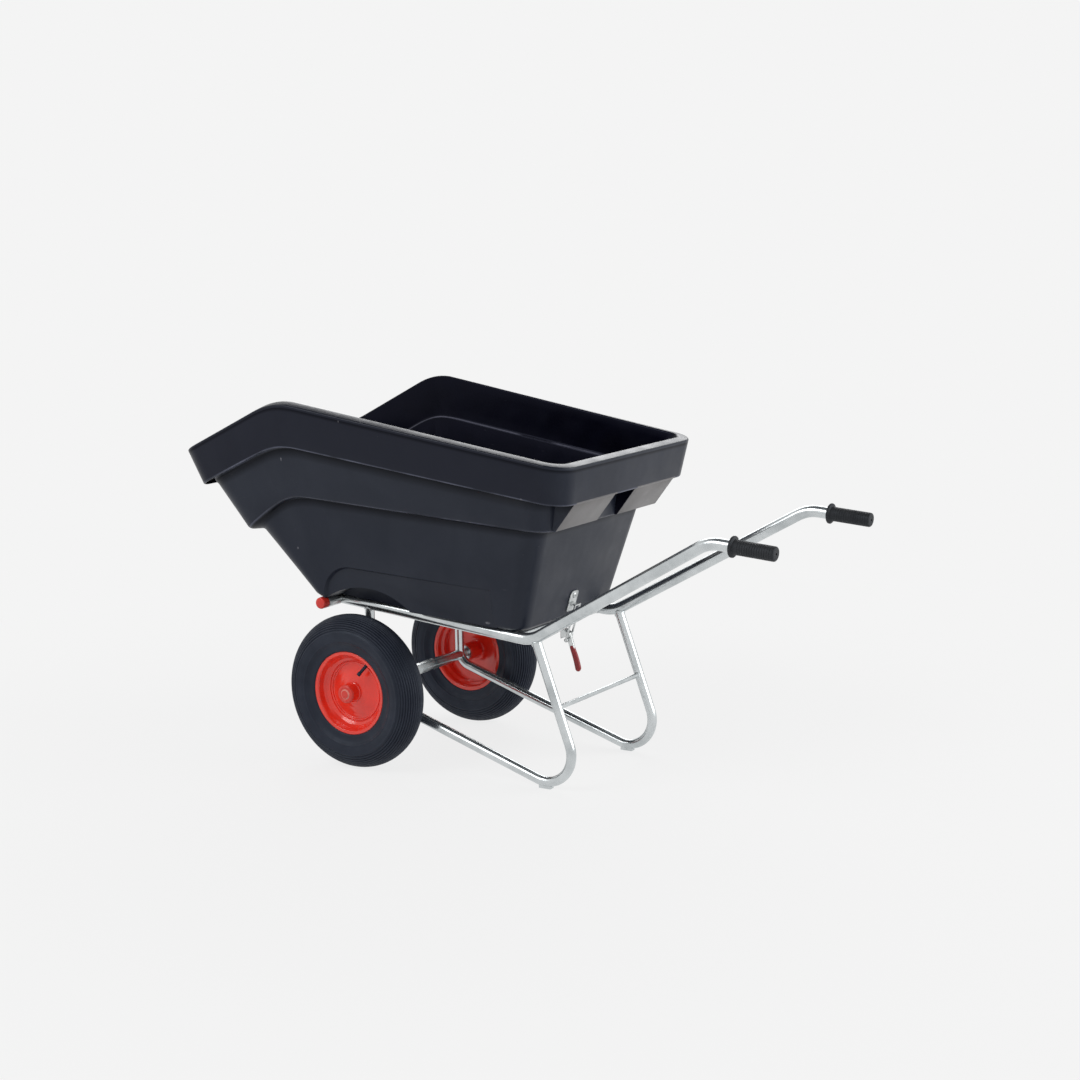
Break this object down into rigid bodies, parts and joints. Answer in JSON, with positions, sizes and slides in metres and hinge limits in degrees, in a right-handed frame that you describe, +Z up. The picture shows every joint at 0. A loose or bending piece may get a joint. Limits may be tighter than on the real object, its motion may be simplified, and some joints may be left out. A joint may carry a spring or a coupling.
{
  "type": "tipping yard barrow",
  "caption": "Yard cart with a stepped moulded tub that tips forward on a tubular frame, pneumatic wheels side by side, rubber-gripped handles and an over-centre latch.",
  "frame": {"origin": "on the ground, under the centre of the whole cart's bounding box", "axes": "+X towards the handles (the cart is pushed towards -X), +Y towards the right-hand wheel's side of the model (the nodes named right), +Z up"},
  "size_m": [1.662, 0.744, 0.9495],
  "materials": {
    "galvanised_steel": "hot-dip galvanised, light matte grey with faint mottling",
    "zinc_steel": "bright zinc plated",
    "black_polyethylene": "satin black moulded polyethylene",
    "tyre_rubber": "matte black rubber",
    "inner_tube_rubber": "matte black butyl rubber",
    "grip_rubber": "matte black moulded rubber",
    "red_enamel": "gloss red stoved enamel on pressed steel",
    "red_plastic": "semi-gloss red moulded plastic",
    "dark_red_plastic": "satin dark red dipped plastic",
    "bearing_steel": "ground bearing steel"
  },
  "bodies": {
    "frame": {"front_cross_tube": "galvanised_steel", "rear_cross_tube": "galvanised_steel", "leg_brace": "galvanised_steel", "axle_tube": "galvanised_steel", "axle_shaft": "zinc_steel", "latch_base": "zinc_steel", "latch_pivot_pin": "zinc_steel", "side_tube_left": "galvanised_steel", "leg_tube_left": "galvanised_steel", "foot_pad_left": "galvanised_steel", "grip_left": "grip_rubber", "end_cap_left": "red_plastic", "axle_spacer_left": "zinc_steel", "axle_washer_left": "zinc_steel", "axle_nut_left": "zinc_steel", "side_tube_right": "galvanised_steel", "leg_tube_right": "galvanised_steel", "foot_pad_right": "galvanised_steel", "grip_right": "grip_rubber", "end_cap_right": "red_plastic", "axle_spacer_right": "zinc_steel", "axle_washer_right": "zinc_steel", "axle_nut_right": "zinc_steel"},
    "tub": {"tub": "black_polyethylene", "latch_keeper": "zinc_steel", "keeper_bolt": "zinc_steel", "hinge_bracket_left": "zinc_steel", "hinge_bracket_right": "zinc_steel", "hinge_bolt_left_lower": "zinc_steel", "hinge_bolt_left_upper": "zinc_steel", "hinge_bolt_right_lower": "zinc_steel", "hinge_bolt_right_upper": "zinc_steel"},
    "latch_lever": {"latch_lever": "zinc_steel", "latch_grip": "dark_red_plastic", "latch_link_pin": "zinc_steel"},
    "latch_hook": {"latch_hook": "zinc_steel"},
    "wheel_left": {"tyre_left": "tyre_rubber", "inner_tube_left": "inner_tube_rubber", "valve_cap_left": "inner_tube_rubber", "rim_left": "red_enamel", "hub_left": "red_enamel", "inner_bearing_left": "bearing_steel", "outer_bearing_left": "bearing_steel", "hub_cap_left": "red_plastic"},
    "wheel_right": {"tyre_right": "tyre_rubber", "inner_tube_right": "inner_tube_rubber", "valve_cap_right": "inner_tube_rubber", "rim_right": "red_enamel", "hub_right": "red_enamel", "inner_bearing_right": "bearing_steel", "outer_bearing_right": "bearing_steel", "hub_cap_right": "red_plastic"}
  },
  "joints": [
    {"name": "wheel_left_spin", "type": "hinge", "parent": "frame", "child": "wheel_left", "pos_m": [-0.36204, -0.266, 0.2], "axis": [0, 1, 0], "continuous": true},
    {"name": "wheel_right_spin", "type": "hinge", "parent": "frame", "child": "wheel_right", "pos_m": [-0.36204, 0.266, 0.2], "axis": [0, 1, 0], "continuous": true},
    {"name": "tub_tip", "type": "hinge", "parent": "frame", "child": "tub", "pos_m": [-0.45204, 0, 0.424], "axis": [0, -1, 0], "range_deg": [0, 80]},
    {"name": "latch_lever_turn", "type": "hinge", "parent": "frame", "child": "latch_lever", "pos_m": [0.11678, 0, 0.345], "axis": [0, -1, 0], "range_deg": [-18, 110]},
    {"name": "latch_hook_swing", "type": "hinge", "parent": "latch_lever", "child": "latch_hook", "pos_m": [0.11505, 0, 0.33111], "axis": [0, -1, 0], "range_deg": [-110, 18]}
  ],
  "couplings": [
    {"joint": "latch_hook_swing", "follows": "latch_lever_turn", "ratio": -1}
  ]
}
